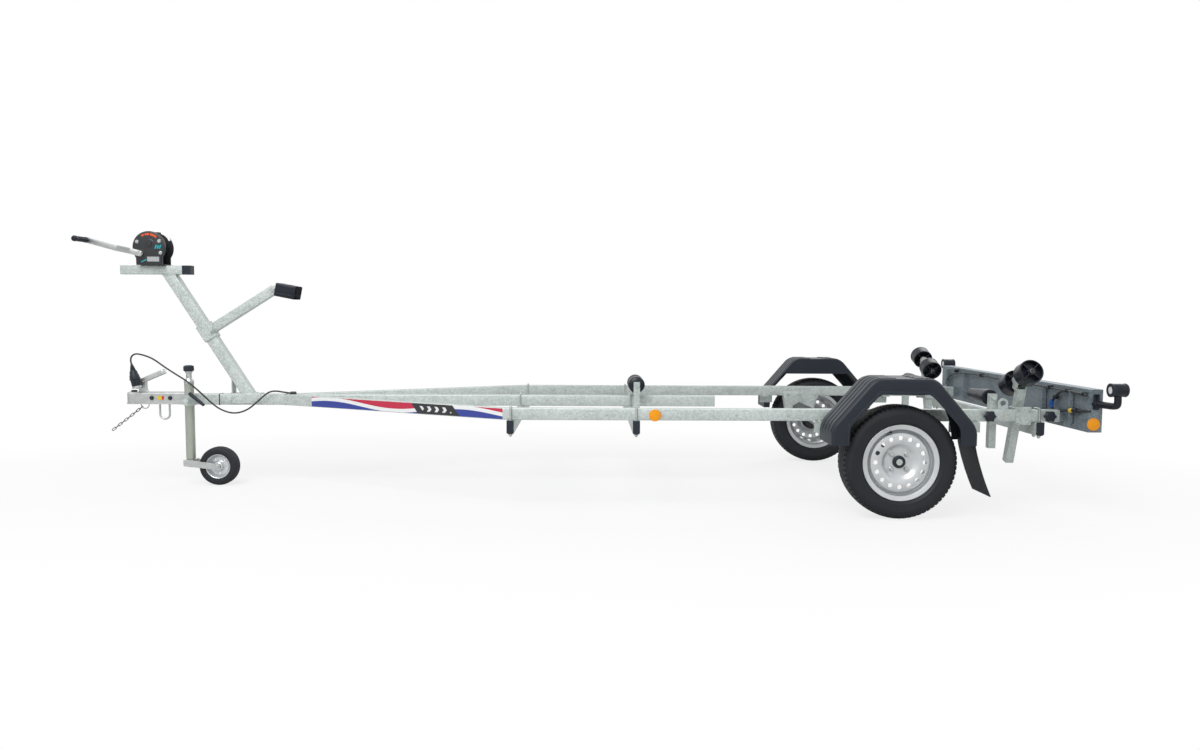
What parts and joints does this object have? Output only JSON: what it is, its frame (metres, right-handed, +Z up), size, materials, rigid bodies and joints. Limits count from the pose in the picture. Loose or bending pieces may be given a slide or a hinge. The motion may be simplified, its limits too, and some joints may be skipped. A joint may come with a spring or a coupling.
{
  "type": "single-axle roller boat trailer",
  "caption": "Single-axle boat trailer with a V-shaped galvanised frame, roller supports, winch post, jockey wheel, plastic fenders and a lamp board.",
  "frame": {"origin": "on the floor under the middle of the trailer's length and width", "axes": "+X rearward along the drawbar, +Y to the trailer's right, +Z up"},
  "size_m": [5.2336, 2.0738, 1.4231],
  "materials": {
    "galvanised_steel": "hot-dip galvanised, mottled spangle",
    "zinc_plated_steel": "bright zinc plating",
    "black_steel": "satin black coating",
    "jockey_steel": "dull passivated zinc",
    "rim_paint": "silver paint",
    "tyre_rubber": "matt tyre rubber",
    "roller_rubber": "glossy black moulded rubber",
    "black_plastic": "satin moulded plastic",
    "cable_sheath": "satin cable sheath",
    "red_lens": "glossy red lens",
    "clear_lens": "glossy clear lens",
    "amber_lens": "glossy amber lens"
  },
  "bodies": {
    "chassis": {"drawbar": "galvanised_steel", "side_rails": "galvanised_steel", "cross_beams": "galvanised_steel", "axle_saddles": "galvanised_steel", "swing_arms": "galvanised_steel", "fender_brackets": "galvanised_steel", "post_fittings": "galvanised_steel", "winch_post": "galvanised_steel", "head_tube": "galvanised_steel", "bow_arm": "galvanised_steel", "keel_bracket": "galvanised_steel", "roller_posts": "galvanised_steel", "rail_clamps": "galvanised_steel", "lashing_eyes": "galvanised_steel", "light_board": "galvanised_steel", "jockey_clamp": "galvanised_steel", "frame_u_bolts": "zinc_plated_steel", "coupling_head": "zinc_plated_steel", "coupling_lever": "zinc_plated_steel", "coupling_fittings": "zinc_plated_steel", "safety_chain": "zinc_plated_steel", "jockey_screw": "zinc_plated_steel", "axle_beam": "black_steel", "winch_frame": "black_steel", "jockey_leg": "jockey_steel", "bow_block": "roller_rubber", "marker_stalks": "roller_rubber", "mudflaps": "roller_rubber", "fender_left": "black_plastic", "fender_right": "black_plastic", "end_caps": "black_plastic", "clamp_knobs": "black_plastic", "cable_gland": "black_plastic", "trailer_plug": "black_plastic", "trailer_cable": "cable_sheath", "tail_lamps": "red_lens", "marker_rear_lenses": "red_lens", "marker_front_lenses": "clear_lens", "reflectors": "amber_lens"},
    "wheel_left": {"tyre_left": "tyre_rubber", "rim_left": "rim_paint", "hub_left": "black_steel", "centre_cap_left": "black_plastic"},
    "wheel_right": {"tyre_right": "tyre_rubber", "rim_right": "rim_paint", "hub_right": "black_steel", "centre_cap_right": "black_plastic"},
    "jockey_lift": {"jockey_inner_tube": "jockey_steel"},
    "jockey_swivel": {"jockey_fork": "zinc_plated_steel"},
    "jockey_wheel": {"jockey_tyre": "tyre_rubber", "jockey_rim": "rim_paint"},
    "winch_drum": {"winch_drum": "black_steel"},
    "winch_crank": {"winch_crank": "zinc_plated_steel", "crank_grip": "roller_rubber"},
    "keel_roller": {"keel_roller": "roller_rubber"},
    "twin_roller_left": {"twin_rollers_left": "roller_rubber"},
    "twin_roller_right": {"twin_rollers_right": "roller_rubber"},
    "single_roller_left": {"single_roller_left": "roller_rubber"},
    "single_roller_right": {"single_roller_right": "roller_rubber"}
  },
  "joints": [
    {"name": "wheel_left_spin", "type": "hinge", "parent": "chassis", "child": "wheel_left", "pos_m": [1.6123, -0.833, 0.2735], "axis": [0, 1, 0], "continuous": true},
    {"name": "wheel_right_spin", "type": "hinge", "parent": "chassis", "child": "wheel_right", "pos_m": [1.6123, 0.833, 0.2735], "axis": [0, 1, 0], "continuous": true},
    {"name": "jockey_lift_slide", "type": "slide", "parent": "chassis", "child": "jockey_lift", "axis": [0, 0, -1], "range_m": [0, 0.2]},
    {"name": "jockey_swivel_turn", "type": "hinge", "parent": "jockey_lift", "child": "jockey_swivel", "pos_m": [-2.0997, -0.066, 0.15], "axis": [0, 0, 1], "continuous": true},
    {"name": "jockey_wheel_spin", "type": "hinge", "parent": "jockey_swivel", "child": "jockey_wheel", "pos_m": [-1.9397, -0.066, 0.1075], "axis": [0, 1, 0], "continuous": true},
    {"name": "winch_drum_turn", "type": "hinge", "parent": "chassis", "child": "winch_drum", "pos_m": [-2.2967, 0, 1.3425], "axis": [0, 1, 0], "continuous": true},
    {"name": "winch_crank_turn", "type": "hinge", "parent": "chassis", "child": "winch_crank", "pos_m": [-2.3477, 0, 1.2865], "axis": [0, 1, 0], "continuous": true},
    {"name": "keel_roller_spin", "type": "hinge", "parent": "chassis", "child": "keel_roller", "pos_m": [0.3953, 0, 0.573], "axis": [0, 1, 0], "continuous": true},
    {"name": "twin_roller_left_spin", "type": "hinge", "parent": "chassis", "child": "twin_roller_left", "pos_m": [2.2873, -0.64385, 0.6604], "axis": [0, 0.9336, -0.3584], "continuous": true},
    {"name": "single_roller_left_spin", "type": "hinge", "parent": "chassis", "child": "single_roller_left", "pos_m": [2.1563, -0.49, 0.56], "axis": [0, 1, 0], "continuous": true},
    {"name": "twin_roller_right_spin", "type": "hinge", "parent": "chassis", "child": "twin_roller_right", "pos_m": [2.2873, 0.64385, 0.6604], "axis": [0, 0.9336, 0.3584], "continuous": true},
    {"name": "single_roller_right_spin", "type": "hinge", "parent": "chassis", "child": "single_roller_right", "pos_m": [2.1563, 0.49, 0.56], "axis": [0, 1, 0], "continuous": true}
  ],
  "couplings": [
    {"joint": "winch_crank_turn", "follows": "winch_drum_turn", "ratio": -4}
  ]
}
